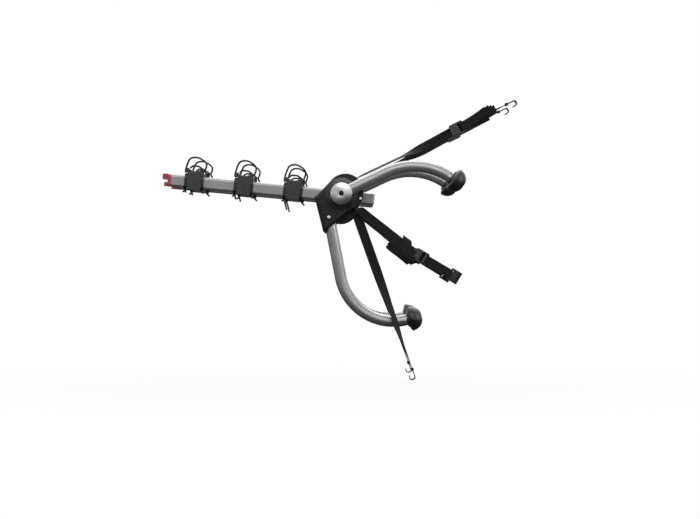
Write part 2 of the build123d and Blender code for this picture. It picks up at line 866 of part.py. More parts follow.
def cam_buckle(plane):
    """A cam buckle's frame: base under the webbing, two ears and a bridge at each end."""
    floor = web_thickness / 2 + seat_gap
    cam_height = floor + cam_radius
    with BuildPart() as buckle:
        with BuildSketch(plane.offset(-floor - buckle_base)):
            RectangleRounded(buckle_length, buckle_width, buckle_ear)
        extrude(amount=buckle_base)
        with BuildSketch(plane.offset(-floor)):
            with Locations(
                (0, buckle_width / 2 - buckle_ear / 2), (0, -buckle_width / 2 + buckle_ear / 2)
            ):
                Rectangle(buckle_length - 2 * buckle_ear, buckle_ear)
        extrude(amount=2 * floor + buckle_bridge_height)
        with BuildSketch(plane.offset(-floor)):
            with Locations(
                (0, buckle_width / 2 - buckle_ear / 2), (0, -buckle_width / 2 + buckle_ear / 2)
            ):
                Rectangle(4 * cam_radius, buckle_ear)
        extrude(amount=floor + cam_height + cam_radius)
        bridge_u = buckle_length / 2 - buckle_ear - buckle_bridge / 2
        with BuildSketch(plane.offset(floor)):
            with Locations((bridge_u, 0), (-bridge_u, 0)):
                Rectangle(buckle_bridge, buckle_width)
        extrude(amount=buckle_bridge_height)
        with BuildSketch(strap_side(plane)):
            with Locations((0, cam_height)):
                Circle(cam_hole + running_gap)
        extrude(amount=buckle_width, both=True, mode=Mode.SUBTRACT)
    return buckle.part


def cam_lever(plane):
    """The buckle's lever, with its cam close over the webbing."""
    cam_height = web_thickness / 2 + seat_gap + cam_radius
    top = cam_height + cam_radius - lever_thickness / 2
    with BuildPart() as lever:
        with BuildSketch(strap_side(plane)):
            with Locations((0, cam_height)):
                Circle(cam_radius)
            with BuildLine():
                Line((0, top), (-lever_length, top + lever_rise))
            trace(line_width=lever_thickness)
            with Locations((0, cam_height)):
                Circle(cam_hole + running_gap, mode=Mode.SUBTRACT)
        extrude(amount=buckle_width / 2 - buckle_ear - seat_gap, both=True)
    return lever.part


def cam_pin(plane):
    cam_height = web_thickness / 2 + seat_gap + cam_radius
    with BuildPart() as pin:
        with BuildSketch(strap_side(plane)):
            with Locations((0, cam_height)):
                Circle(cam_hole)
        extrude(amount=buckle_width / 2, both=True)
    return pin.part


def car_hook(plane):
    """A coated plate hook: a bar for the webbing, a slot and a bent mouth towards the car."""
    with BuildPart() as hook:
        with BuildSketch(strap_side(plane)):
            with BuildLine():
                FilletPolyline(
                    (0, 0),
                    (hook_length, 0),
                    (hook_length, -hook_mouth - hook_thickness),
                    (hook_length - hook_return, -hook_mouth - hook_thickness),
                    radius=hook_bend,
                )
            trace(line_width=hook_thickness)
        extrude(amount=hook_width / 2, both=True)
        with BuildSketch(plane):
            slot_end = hook_bar_radius + hook_slot
            Rectangle(2 * slot_end, web_width + 2 * seat_gap)
        extrude(amount=hook_thickness, both=True, mode=Mode.SUBTRACT)
        with BuildSketch(strap_side(plane)):
            Circle(hook_bar_radius)
        extrude(amount=hook_width / 2, both=True)
    return hook.part


def note(name, place, direction):
    """Prints a place and a direction, as the record states them."""
    print("NOTE", name, [round(value, 4) for value in (*place, *direction)])


def lever_note(name, plane):
    cam_height = web_thickness / 2 + seat_gap + cam_radius
    note(name, plane.origin + plane.z_dir * cam_height, plane.y_dir)


def hook_note(name, plane):
    note(name, plane.from_local_coords((hook_length / 2, 0, -hook_mouth / 2)), -plane.x_dir)


pin_bore = pin_radius + running_gap
bar_bore = hook_bar_radius + running_gap
pin_lead = pin_bore + web_thickness / 2
bar_lead = bar_bore + web_thickness / 2

# Upper strap: from its pin over the rear window to the top of the boot lid
top_pin = Vector(pin_x, -lower_leg_y, pin_z)
top_finish = Vector(*top_end)
top_forward = (top_finish - top_pin).normalized()
top_hook_plane = strap_plane(top_finish, top_forward, top_turn_shares[-1][1])
top_buckle_plane = strap_plane(
    top_pin + (top_finish - top_pin) * top_buckle_share, top_forward, 90
)
with BuildPart() as top_strap:
    add(eye_on(pin_plane(top_pin), pin_bore, web_width))
    add(
        ribbon(
            turning(
                top_pin + top_forward * pin_lead,
                top_finish - top_forward * bar_lead,
                [(share, turn, web_width) for share, turn in top_turn_shares],
            )
        )
    )
    add(eye_on(strap_side(top_hook_plane), bar_bore, web_width))
    tail_lift = web_thickness + 2 * seat_gap + buckle_bridge_height
    tail_root = top_buckle_plane.from_local_coords((buckle_length / 4, 0, tail_lift))
    add(ribbon([(tail_root, 90, web_width), (Vector(*top_tail_end), 90, web_width)]))
keep_pair("top_strap", top_strap.part)
keep_pair("top_buckle", cam_buckle(top_buckle_plane))
keep_pair("top_lever", cam_lever(top_buckle_plane))
lever_note("top_lever_right", top_buckle_plane)
hook_note("top_hook_right", top_hook_plane)

# Side strap: from the anchor pin to the side of the boot lid
side_pin_y = plate_inner_y + seat_gap + 1.5 * gather_width + eye_spacing
side_pin = Vector(anchor_x, -side_pin_y, anchor_z)
side_middle = Vector(*side_buckle_at)
side_finish = Vector(*side_end)
side_forward = (side_middle - side_pin).normalized()
side_last = (side_finish - side_middle).normalized()
side_buckle_plane = strap_plane(side_middle, side_last, 90)
side_hook_plane = strap_plane(side_finish, side_last, 90)
gather_share = gather_turn_length / (side_middle - side_pin).length
with BuildPart() as side_strap:
    add(eye_on(pin_plane(side_pin), pin_bore, gather_width))
    stations = turning(
        side_pin + side_forward * pin_lead,
        side_middle - side_last * 0.75 * buckle_length,
        [(0, 0, gather_width), (gather_share, 90, web_width), (1, 90, web_width)],
    )
    stations.append((side_middle - side_last * 0.55 * buckle_length, 90, web_width))
    stations.append((side_middle, 90, web_width))
    stations.append((side_finish - side_last * bar_lead, 90, web_width))
    add(ribbon(stations))
    add(eye_on(strap_side(side_hook_plane), bar_bore, web_width))
keep_pair("side_strap", side_strap.part)
keep_pair("side_buckle", cam_buckle(side_buckle_plane))
keep_pair("side_lever", cam_lever(side_buckle_plane))
lever_note("side_lever_right", side_buckle_plane)
hook_note("side_hook_right", side_hook_plane)

with BuildPart() as buckle_pins:
    add(cam_pin(top_buckle_plane))
    add(cam_pin(side_buckle_plane))
keep_both("buckle_pins", buckle_pins.part)

# Lower strap: from the anchor pin down past the leg to the bumper
lower_pin = Vector(anchor_x, -(plate_inner_y + seat_gap + gather_width / 2), anchor_z)
lower_finish = Vector(*lower_end_at)
lower_forward = (lower_finish - lower_pin).normalized()
lower_hook_plane = strap_plane(lower_finish, lower_forward, lower_turn_shares[-1][1])
gather_share = gather_turn_length / (lower_finish - lower_pin).length
with BuildPart() as lower_strap:
    add(eye_on(pin_plane(lower_pin), pin_bore, gather_width))
    add(
        ribbon(
            turning(
                lower_pin + lower_forward * pin_lead,
                lower_finish - lower_forward * bar_lead,
                [(0, 0, gather_width), (gather_share, 90, web_width)]
                + [(share, turn, web_width) for share, turn in lower_turn_shares],
            )
        )
    )
    add(eye_on(strap_side(lower_hook_plane), bar_bore, web_width))
keep_pair("lower_strap", lower_strap.part)

hook_note("lower_hook_right", lower_hook_plane)

with BuildPart() as car_hooks:
    add(car_hook(top_hook_plane))
    add(car_hook(side_hook_plane))
    add(car_hook(lower_hook_plane))
keep_both("car_hooks", car_hooks.part)

# The faces and seats that the rack is used by
for name, end, angle, y in (
    ("lower_pad_right", lower_end, lower_leg_rise, -lower_leg_y),
    ("upper_pad_right", upper_end, -upper_leg_drop, -upper_leg_y),
):
    note(name, Vector(end[0], y, end[1]) + pad_axis(angle) * pad_front, pad_axis(angle))
for number, distance in enumerate(cradle_places, start=1):
    seat = arm_side(distance)
    note(f"cradle_{number}_right", seat.from_local_coords((0, saddle_floor, 0)), arm_up)
    note(
        f"tall_strap_{number}_right",
        arm_side(distance, tall_lane).from_local_coords((-eye_u, eye_height, 0)),
        Vector(0, -1, 0),
    )
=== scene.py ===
import json
from math import copysign, cos, pi, radians, sin

import bmesh
import bpy
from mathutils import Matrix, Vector
from mathutils.bvhtree import BVHTree


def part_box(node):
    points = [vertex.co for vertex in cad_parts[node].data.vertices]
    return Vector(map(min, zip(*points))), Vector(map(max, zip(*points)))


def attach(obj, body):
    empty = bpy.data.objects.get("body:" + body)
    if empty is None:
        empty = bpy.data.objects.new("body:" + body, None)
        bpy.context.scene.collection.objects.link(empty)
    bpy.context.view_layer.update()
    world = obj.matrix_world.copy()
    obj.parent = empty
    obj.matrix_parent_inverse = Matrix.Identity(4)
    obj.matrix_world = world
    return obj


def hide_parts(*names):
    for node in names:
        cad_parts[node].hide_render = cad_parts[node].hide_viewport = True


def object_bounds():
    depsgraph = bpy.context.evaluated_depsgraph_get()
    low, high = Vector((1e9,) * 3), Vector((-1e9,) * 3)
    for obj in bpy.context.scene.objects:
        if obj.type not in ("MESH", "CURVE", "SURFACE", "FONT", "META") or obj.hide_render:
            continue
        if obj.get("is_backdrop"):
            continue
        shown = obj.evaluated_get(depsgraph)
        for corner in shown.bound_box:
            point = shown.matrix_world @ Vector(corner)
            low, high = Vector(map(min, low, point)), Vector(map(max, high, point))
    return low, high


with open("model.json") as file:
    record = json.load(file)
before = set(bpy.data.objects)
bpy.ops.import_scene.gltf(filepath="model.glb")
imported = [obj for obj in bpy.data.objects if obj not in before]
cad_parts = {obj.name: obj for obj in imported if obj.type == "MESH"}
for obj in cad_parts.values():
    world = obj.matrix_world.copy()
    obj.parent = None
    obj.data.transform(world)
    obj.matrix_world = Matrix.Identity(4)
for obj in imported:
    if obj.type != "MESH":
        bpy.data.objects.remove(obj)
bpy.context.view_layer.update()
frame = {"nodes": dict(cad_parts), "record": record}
nodes = frame["nodes"]
slotOf = {row["node"]: row["material_slot"] for row in frame["record"]["subparts"]}
sides = ("right", "left")
scene = bpy.context.scene
alongAxle = Vector((0, 1, 0))
tiny = 1e-9
smoothing = {"merge": 2e-6, "sharp": 28, "webSharp": 40}
print("frame loaded")


def newObject(name, data):
    made = bpy.data.objects.new(name, data)
    scene.collection.objects.link(made)
    return made


# Node helpers

def addNode(tree, kind, inputs=None, **settings):
    node = tree.nodes.new(kind)
    for name, value in settings.items():
        setattr(node, name, value)
    for name, value in (inputs or {}).items():
        if isinstance(value, bpy.types.NodeSocket):
            tree.links.new(value, node.inputs[name])
        else:
            node.inputs[name].default_value = value
    return node


def addSocket(tree, label, kind, inOut="INPUT"):
    return tree.interface.new_socket(label, in_out=inOut, socket_type=kind)


def newGroup(name, inputs, outputs):
    tree = bpy.data.node_groups.new(name, "ShaderNodeTree")
    for label, kind, value in inputs:
        socket = addSocket(tree, label, kind)
        if value is not None:
            socket.default_value = value
    for label, kind in outputs:
        addSocket(tree, label, kind, "OUTPUT")
    return tree, tree.nodes.new("NodeGroupInput"), tree.nodes.new("NodeGroupOutput")


def useGroup(tree, group, inputs):
    return addNode(tree, "ShaderNodeGroup", inputs, node_tree=group)


def sums(tree, operation, first, second=0.5, clamp=False):
    return addNode(
        tree, "ShaderNodeMath", {0: first, 1: second}, operation=operation, use_clamp=clamp
    ).outputs[0]


def mixColour(tree, factor, first, second):
    colours = {"Factor": factor, 6: first, 7: second}
    return addNode(tree, "ShaderNodeMix", colours, data_type="RGBA").outputs[2]


# Shared surface effects

def grainGroup():
    tree, given, out = newGroup(
        "fineGrain",
        [
            ("Vector", "NodeSocketVector", None),
            ("Scale", "NodeSocketFloat", 900.0),
            ("Detail", "NodeSocketFloat", 3.0),
        ],
        [("Height", "NodeSocketFloat"), ("Mask", "NodeSocketFloat")],
    )
    fine = addNode(
        tree,
        "ShaderNodeTexNoise",
        {"Vector": given.outputs[0], "Scale": given.outputs[1], "Detail": given.outputs[2]},
    )
    broad = addNode(
        tree,
        "ShaderNodeTexNoise",
        {"Vector": given.outputs[0], "Scale": sums(tree, "MULTIPLY", given.outputs[1], 0.02)},
    )
    tree.links.new(fine.outputs["Fac"], out.inputs["Height"])
    tree.links.new(broad.outputs["Fac"], out.inputs["Mask"])
    return tree


def wearGroup():
    tree, given, out = newGroup(
        "lightWear",
        [
            ("Vector", "NodeSocketVector", None),
            ("Scale", "NodeSocketFloat", 60.0),
            ("Amount", "NodeSocketFloat", 0.3),
        ],
        [("Mask", "NodeSocketFloat")],
    )
    stretch = addNode(
        tree, "ShaderNodeMapping", {"Vector": given.outputs[0], "Scale": (1.0, 0.35, 1.0)}
    )
    patches = addNode(
        tree,
        "ShaderNodeTexNoise",
        {"Vector": stretch.outputs[0], "Scale": given.outputs[1], "Detail": 6.0},
    )
    edge = addNode(
        tree,
        "ShaderNodeMapRange",
        {"Value": patches.outputs["Fac"], "From Min": 0.58, "From Max": 0.72},
    )
    tree.links.new(
        sums(tree, "MULTIPLY", edge.outputs[0], given.outputs[2], clamp=True), out.inputs["Mask"]
    )
    return tree


def dustGroup():
    tree, given, out = newGroup(
        "restingDust",
        [
            ("Vector", "NodeSocketVector", None),
            ("Color", "NodeSocketColor", None),
            ("Dust", "NodeSocketColor", (0.5, 0.48, 0.45, 1.0)),
            ("Amount", "NodeSocketFloat", 0.2),
        ],
        [("Color", "NodeSocketColor")],
    )
    normal = addNode(tree, "ShaderNodeNewGeometry").outputs["Normal"]
    facing = addNode(tree, "ShaderNodeSeparateXYZ", {0: normal})
    upward = addNode(
        tree,
        "ShaderNodeMapRange",
        {"Value": facing.outputs["Z"], "From Min": 0.2, "From Max": 1.0},
    )
    patches = addNode(
        tree, "ShaderNodeTexNoise", {"Vector": given.outputs[0], "Scale": 35.0, "Detail": 5.0}
    )
    mask = sums(tree, "MULTIPLY", upward.outputs[0], patches.outputs["Fac"])
    mask = sums(tree, "MULTIPLY", mask, given.outputs[3], clamp=True)
    tree.links.new(mixColour(tree, mask, given.outputs[1], given.outputs[2]), out.inputs["Color"])
    return tree


# Fine rings round the hub axis for the bump, and a painted sheen: a painted highlight, brighter in
# two opposite sweeps round the axis
def turnedGroup():
    tree, given, out = newGroup(
        "turnedRingsAndPaintedSheen",
        [("Vector", "NodeSocketVector", None), ("Pitch", "NodeSocketFloat", 0.0006)],
        [("Height", "NodeSocketFloat"), ("paintedSheen", "NodeSocketFloat")],
    )
    parts = addNode(tree, "ShaderNodeSeparateXYZ", {0: given.outputs[0]})
    flat = addNode(tree, "ShaderNodeCombineXYZ", {"X": parts.outputs["X"], "Z": parts.outputs["Z"]})
    away = addNode(tree, "ShaderNodeVectorMath", {0: flat.outputs[0]}, operation="LENGTH")
    turns = sums(tree, "DIVIDE", away.outputs["Value"], given.outputs[1])
    tree.links.new(sums(tree, "SINE", sums(tree, "MULTIPLY", turns, 2 * pi)), out.inputs["Height"])
    angle = sums(tree, "ARCTAN2", parts.outputs["Z"], parts.outputs["X"])
    paintedSheenFan = sums(tree, "SINE", sums(tree, "MULTIPLY", angle, 2.0))
    tree.links.new(sums(tree, "ADD", sums(tree, "MULTIPLY", paintedSheenFan, 0.5), 0.5), out.inputs["paintedSheen"])
    return tree


# The weave's height for the bump, and Shade: painted shade, the colour darker in the grooves
# between threads and lighter on their crests
def weaveGroup():
    tree, given, out = newGroup(
        "webWeave",
        [("UV", "NodeSocketVector", None), ("Pitch", "NodeSocketFloat", 0.0021)],
        [("Height", "NodeSocketFloat"), ("Shade", "NodeSocketFloat")],
    )
    parts = addNode(tree, "ShaderNodeSeparateXYZ", {0: given.outputs[0]})
    across = sums(tree, "DIVIDE", parts.outputs["X"], given.outputs[1])
    lengthways = sums(tree, "DIVIDE", parts.outputs["Y"], given.outputs[1])
    fold = sums(tree, "PINGPONG", across, 1.0)
    slanted = sums(tree, "ADD", lengthways, fold)
    ribs = sums(tree, "SINE", sums(tree, "MULTIPLY", slanted, 2 * pi))
    threads = sums(tree, "SINE", sums(tree, "MULTIPLY", across, 4 * pi))
    diagonal = sums(tree, "MULTIPLY", ribs, 0.6)
    straight = sums(tree, "MULTIPLY", threads, 0.4)
    height = sums(tree, "ADD", diagonal, straight)
    tree.links.new(height, out.inputs["Height"])
    tree.links.new(sums(tree, "ADD", sums(tree, "MULTIPLY", height, 0.5), 0.5), out.inputs["Shade"])
    return tree


groups = {
    "grain": grainGroup(),
    "wear": wearGroup(),
    "dust": dustGroup(),
    "turned": turnedGroup(),
    "weave": weaveGroup(),
}


# Materials

def startMaterial(name):
    material = bpy.data.materials.new(name)
    material.use_nodes = True
    tree = material.node_tree
    shader = tree.nodes["Principled BSDF"]
    return material, tree, shader


def coated(name, look):
    material, tree, shader = startMaterial(name)
    place = addNode(tree, "ShaderNodeTexCoord").outputs["Object"]
    grain = useGroup(tree, groups["grain"], {"Vector": place, "Scale": look["grainScale"]})
    wear = useGroup(
        tree, groups["wear"], {"Vector": place, "Scale": look["wearScale"], "Amount": look["wear"]}
    )
    base = mixColour(tree, grain.outputs["Mask"], look["colour"], look["colourTwo"])
    worn = mixColour(tree, wear.outputs["Mask"], base, look["wornColour"])
    dusty = useGroup(tree, groups["dust"], {"Vector": place, "Color": worn, "Amount": look["dust"]})
    tree.links.new(dusty.outputs["Color"], shader.inputs["Base Color"])
    rough = addNode(
        tree,
        "ShaderNodeMapRange",
        {
            "Value": grain.outputs["Mask"],
            "From Min": 0.3,
            "From Max": 0.7,
            "To Min": look["roughness"] - look["roughSpread"],
            "To Max": look["roughness"] + look["roughSpread"],
        },
    )
    tree.links.new(rough.outputs[0], shader.inputs["Roughness"])
    shader.inputs["Metallic"].default_value = look["metallic"]
    shader.inputs["Specular IOR Level"].default_value = look.get("specular", 0.5)
    bump = addNode(
        tree,
        "ShaderNodeBump",
        {
            "Height": grain.outputs["Height"],
            "Strength": look["bump"],
            "Distance": look["bumpDepth"],
        },
    )
    tree.links.new(bump.outputs[0], shader.inputs["Normal"])
    # Within the bore radius round the hub axis the colour turns near-black and the metal matte:
    # painted shade in the axle's socket
    if "bore" in look:
        parts = addNode(tree, "ShaderNodeSeparateXYZ", {0: place})
        flat = addNode(
            tree, "ShaderNodeCombineXYZ", {"X": parts.outputs["X"], "Z": parts.outputs["Z"]}
        )
        away = addNode(tree, "ShaderNodeVectorMath", {0: flat.outputs[0]}, operation="LENGTH")
        inside = sums(tree, "LESS_THAN", away.outputs["Value"], look["bore"])
        dark = mixColour(tree, inside, dusty.outputs["Color"], look["boreColour"])
        tree.links.new(dark, shader.inputs["Base Color"])
        metal = sums(tree, "MULTIPLY", sums(tree, "SUBTRACT", 1.0, inside), look["metallic"])
        tree.links.new(metal, shader.inputs["Metallic"])
    return material


def turned(name, look):
    material, tree, shader = startMaterial(name)
    place = addNode(tree, "ShaderNodeTexCoord").outputs["Object"]
    rings = useGroup(tree, groups["turned"], {"Vector": place, "Pitch": look["pitch"]})
    grain = useGroup(tree, groups["grain"], {"Vector": place, "Scale": look["grainScale"]})
    # The colour runs between colour and colourTwo with the painted sheen, a painted highlight
    # fanned round the hub axis
    base = mixColour(tree, rings.outputs["paintedSheen"], look["colour"], look["colourTwo"])
    stained = sums(tree, "MULTIPLY", grain.outputs["Mask"], look["stainShare"])
    base = mixColour(tree, stained, base, look["stain"])
    tree.links.new(base, shader.inputs["Base Color"])
    rough = addNode(
        tree,
        "ShaderNodeMapRange",
        {
            "Value": grain.outputs["Height"],
            "To Min": look["roughness"] - look["roughSpread"],
            "To Max": look["roughness"] + look["roughSpread"],
        },
    )
    tree.links.new(rough.outputs[0], shader.inputs["Roughness"])
    shader.inputs["Metallic"].default_value = look["metallic"]
    bump = addNode(
        tree,
        "ShaderNodeBump",
        {
            "Height": rings.outputs["Height"],
            "Strength": look["bump"],
            "Distance": look["bumpDepth"],
        },
    )
    tree.links.new(bump.outputs[0], shader.inputs["Normal"])
    return material


def woven(name, look):
    material, tree, shader = startMaterial(name)
    place = addNode(tree, "ShaderNodeUVMap", uv_map="weave").outputs["UV"]
    spot = addNode(tree, "ShaderNodeTexCoord").outputs["Object"]
    weave = useGroup(tree, groups["weave"], {"UV": place, "Pitch": look["pitch"]})
    grain = useGroup(tree, groups["grain"], {"Vector": spot, "Scale": look["grainScale"]})
    # The colour runs from colour in the grooves to colourTwo on the crests: painted shade of the
    # weave
    base = mixColour(tree, weave.outputs["Shade"], look["colour"], look["colourTwo"])
    fuzz = sums(tree, "MULTIPLY", grain.outputs["Mask"], look["fuzz"])
    base = mixColour(tree, fuzz, base, look["fuzzColour"])
    dusty = useGroup(tree, groups["dust"], {"Vector": spot, "Color": base, "Amount": look["dust"]})
    tree.links.new(dusty.outputs["Color"], shader.inputs["Base Color"])
    shader.inputs["Roughness"].default_value = look["roughness"]
    shader.inputs["Sheen Weight"].default_value = look["sheen"]
    shader.inputs["Specular IOR Level"].default_value = look["specular"]
    height = sums(
        tree,
        "ADD",
        weave.outputs["Height"],
        sums(tree, "MULTIPLY", grain.outputs["Height"], look["fuzzHeight"]),
    )
    bump = addNode(
        tree,
        "ShaderNodeBump",
        {"Height": height, "Strength": look["bump"], "Distance": look["bumpDepth"]},
    )
    tree.links.new(bump.outputs[0], shader.inputs["Normal"])
    return material


def look(colour, colourTwo, roughness, metallic=0.0, **more):
    values = {
        "colour": (*colour, 1.0),
        "colourTwo": (*colourTwo, 1.0),
        "roughness": roughness,
        "roughSpread": 0.05,
        "metallic": metallic,
        "grainScale": 900.0,
        "wearScale": 60.0,
        "wear": 0.15,
        "wornColour": (0.3, 0.3, 0.3, 1.0),
        "dust": 0.12,
        "bump": 0.15,
        "bumpDepth": 0.0004,
    }
    values.update(more)
    return values


silverLook = look(
    (0.37, 0.37, 0.37), (0.42, 0.42, 0.42), 0.4, 0.55,
    wornColour=(0.42, 0.42, 0.42, 1.0), grainScale=1400.0, bump=0.02, bumpDepth=0.00001, dust=0.04,
)
blackPaintLook = look(
    (0.011, 0.011, 0.0115), (0.017, 0.017, 0.018), 0.4,
    specular=0.3, dust=0.05,
)
discLook = look(
    (0.04, 0.04, 0.04), (0.065, 0.065, 0.065), 0.36, 0.8,
    grainScale=1600.0, dust=0.03,
)
zincLook = look(
    (0.62, 0.62, 0.63), (0.72, 0.72, 0.71), 0.28, 1.0,
    wornColour=(0.45, 0.44, 0.42, 1.0),
)
rubberLook = look(
    (0.012, 0.012, 0.0125), (0.018, 0.018, 0.0185), 0.4,
    roughSpread=0.03, grainScale=420.0, bump=0.02, bumpDepth=0.00003, specular=0.5, dust=0.0,
)
# The axle's zinc, with painted shade near-black inside its bore
axleLook = {**zincLook, "bore": 0.0077, "boreColour": (0.002, 0.002, 0.002, 1.0)}
nylonLook = look((0.46, 0.45, 0.43), (0.54, 0.53, 0.50), 0.45)
redLook = look(
    (0.66, 0.09, 0.13), (0.74, 0.15, 0.19), 0.36,
    wornColour=(0.8, 0.4, 0.4, 1.0), dust=0.2,
)
cradleLook = look(
    (0.026, 0.026, 0.0265), (0.034, 0.034, 0.035), 0.38,
    grainScale=1100.0, bump=0.03, bumpDepth=0.00004, specular=0.6, dust=0.02,
)
strapRubberLook = look(
    (0.008, 0.008, 0.0085), (0.015, 0.015, 0.0155), 0.38,
    grainScale=700.0, specular=0.4, dust=0.05,
)
buckleLook = look(
    (0.014, 0.014, 0.0145), (0.024, 0.024, 0.025), 0.32,
    specular=0.5, wear=0.3, dust=0.05,
)
hookLook = look(
    (0.008, 0.008, 0.008), (0.014, 0.014, 0.0145), 0.42,
    specular=0.3, wear=0.2, dust=0.05,
)
# colour and colourTwo are the dark and bright ends of the cap's painted sheen, a painted highlight;
# stain is mixed in at random patches
capLook = {
    "colour": (0.38, 0.38, 0.375, 1.0),
    "colourTwo": (0.74, 0.74, 0.73, 1.0),
    "stain": (0.33, 0.33, 0.32, 1.0),
    "stainShare": 0.35,
    "roughness": 0.3,
    "roughSpread": 0.05,
    "metallic": 1.0,
    "pitch": 0.0006,
    "grainScale": 700.0,
    "bump": 0.08,
    "bumpDepth": 0.0002,
}
# colour is the webbing in its painted groove shade, colourTwo the same webbing on the thread crests
webLook = {
    "colour": (0.0085, 0.0085, 0.0095, 1.0),
    "colourTwo": (0.019, 0.019, 0.021, 1.0),
    "pitch": 0.0021,
    "grainScale": 1600.0,
    "fuzz": 0.25,
    "fuzzColour": (0.03, 0.03, 0.031, 1.0),
    "fuzzHeight": 0.3,
    "dust": 0.04,
    "roughness": 0.7,
    "specular": 0.2,
    "sheen": 0.08,
    "bump": 0.5,
    "bumpDepth": 0.0004,
}
threadLook = look(
    (0.02, 0.02, 0.021), (0.035, 0.035, 0.036), 0.6,
    grainScale=2500.0, bump=0.3, specular=0.2,
)

materials = {
    "silver_paint": coated("silverPaint", silverLook),
    "black_paint": coated("blackPaint", blackPaintLook),
    "disc_paint": coated("discPaint", discLook),
    "cap_metal": turned("capMetal", capLook),
    "zinc": coated("zincPlate", zincLook),
    "pad_rubber": coated("padRubber", rubberLook),
    "nylon": coated("naturalNylon", nylonLook),
    "red_plastic": coated("redPlastic", redLook),
    "cradle_plastic": coated("cradlePlastic", cradleLook),
    "strap_rubber": coated("strapRubber", strapRubberLook),
    "webbing": woven("webbing", webLook),
    "buckle_metal": coated("buckleMetal", buckleLook),
    "hook_coating": coated("hookCoating", hookLook),
}
thread = coated("thread", threadLook)
axleMetalBoreShade = coated("axleMetalBoreShade", axleLook)

for name, piece in nodes.items():
    piece.data.materials.clear()
    piece.data.materials.append(axleMetalBoreShade if name == "hub_axle" else materials[slotOf[name]])
print("materials placed")


# Webbing, made on the right-hand side and mirrored

web = {
    "width": 0.027,
    "thickness": 0.0019,
    "selvedge": 0.0024,
    "shoulder": 0.0022,
    "step": 0.004,
    "fewest": 4,
    "eyeSteps": 24,
    "barSlack": 0.0004,
    "rimCorner": (0.3, 0.7),
}
spline = {"resolution": 24, "order": 3}
eyeRadius = {"pin": 0.00525, "bar": 0.00375}

topRoute = {
    "pin": (0.0336, -0.214, 0.0432),
    "middle": [
        (0.170, -0.2118, 0.1086),
        (0.262, -0.2103, 0.149),
        (0.329, -0.2092, 0.1868),
        (0.3846, -0.2086, 0.2159),
    ],
    "end": (0.5211, -0.2064, 0.2830),
    "turns": [
        (0.0, 0),
        (0.08, 12),
        (0.3, 12),
        (0.5, 84),
        (0.6, 90),
        (0.78, 90),
        (0.92, 14),
        (1.0, 0),
    ],
    "widths": [(0.0, 0.027), (1.0, 0.027)],
    "buckle": 0.684,
}
sideRoute = {
    "pin": (0.040, -0.21925, -0.037),
    "buckle": (0.2488, -0.290, -0.197),
    "straight": (0.0338, 0.0248),
    "end": (0.3386, -0.3257, -0.2511),
    "turns": [(0.0, 0), (0.067, 90), (1.0, 90)],
    "widths": [(0.0, 0.0145), (0.067, 0.027), (1.0, 0.027)],
}
lowerRoute = {
    "pin": (0.040, -0.20325, -0.037),
    "middle": [],
    "end": (0.2227, -0.2633, -0.5516),
    "turns": [(0.0, 0), (0.045, 90), (0.3, 90), (0.7, 36), (0.88, 6), (1.0, 0)],
    "widths": [(0.0, 0.0145), (0.045, 0.027), (1.0, 0.027)],
}


# The points that a smooth spline through a route's points really follows
def routeCurve(name, points):
    data = bpy.data.curves.new(name, "CURVE")
    data.dimensions = "3D"
    data.resolution_u = spline["resolution"]
    run = data.splines.new("NURBS")
    run.points.add(len(points) - 1)
    for place, point in zip(run.points, points):
        place.co = (*point, 1.0)
    run.order_u = spline["order"]
    run.use_endpoint_u = True
    holder = newObject(name, data)
    bpy.context.view_layer.update()
    line = bpy.data.meshes.new_from_object(holder)
    path = [vertex.co.copy() for vertex in line.vertices]
    bpy.data.objects.remove(holder)
    bpy.data.curves.remove(data)
    bpy.data.meshes.remove(line)
    return path


def lengthsOf(path):
    lengths = [0.0]
    for before, after in zip(path, path[1:]):
        lengths.append(lengths[-1] + (after - before).length)
    return lengths


def pointAt(path, lengths, distance):
    for number in range(1, len(path)):
        if distance <= lengths[number] or number == len(path) - 1:
            span = max(lengths[number] - lengths[number - 1], tiny)
            share = (distance - lengths[number - 1]) / span
            forward = (path[number] - path[number - 1]).normalized()
            return path[number - 1].lerp(path[number], share), forward


def tableAt(table, share):
    for (low, first), (high, second) in zip(table, table[1:]):
        if share <= high:
            part = (share - low) / max(high - low, tiny)
            part = part * part * (3 - 2 * part)
            return first + (second - first) * part
    return table[-1][1]


# Turn 0 lies along the axle, and turn 90 faces the side
def acrossAt(forward, turn):
    lean = forward.cross(alongAxle).normalized()
    across = alongAxle * cos(radians(turn)) + lean * sin(radians(turn))
    return (across - forward * across.dot(forward)).normalized()


# Half-round edges and a slightly thicker selvedge: points across and off the web
def sectionOf(width):
    half, edge, rim = width / 2, web["thickness"] / 2, web["selvedge"] / 2
    band = web["shoulder"]
    inward, raised = (rim * share for share in web["rimCorner"])
    upper = [
        (-half + rim, rim),
        (-half + band, edge),
        (0.0, edge),
        (half - band, edge),
        (half - rim, rim),
    ]
    right = [(half - inward, raised), (half, 0.0), (half - inward, -raised)]
    lower = [(a, -b) for a, b in reversed(upper)]
    left = [(-a, b) for a, b in reversed(right)]
    return upper + right + lower + left


def finishMesh(name, mesh, material):
    mesh.materials.append(material)
    piece = newObject(name, mesh)
    bpy.context.view_layer.objects.active = piece
    piece.select_set(True)
    bpy.ops.object.mode_set(mode="EDIT")
    bpy.ops.mesh.select_all(action="SELECT")
    bpy.ops.mesh.normals_make_consistent(inside=False)
    bpy.ops.object.mode_set(mode="OBJECT")
    piece.select_set(False)
    mesh.shade_smooth()
    mesh.set_sharp_from_angle(angle=radians(smoothing["webSharp"]))
    return piece


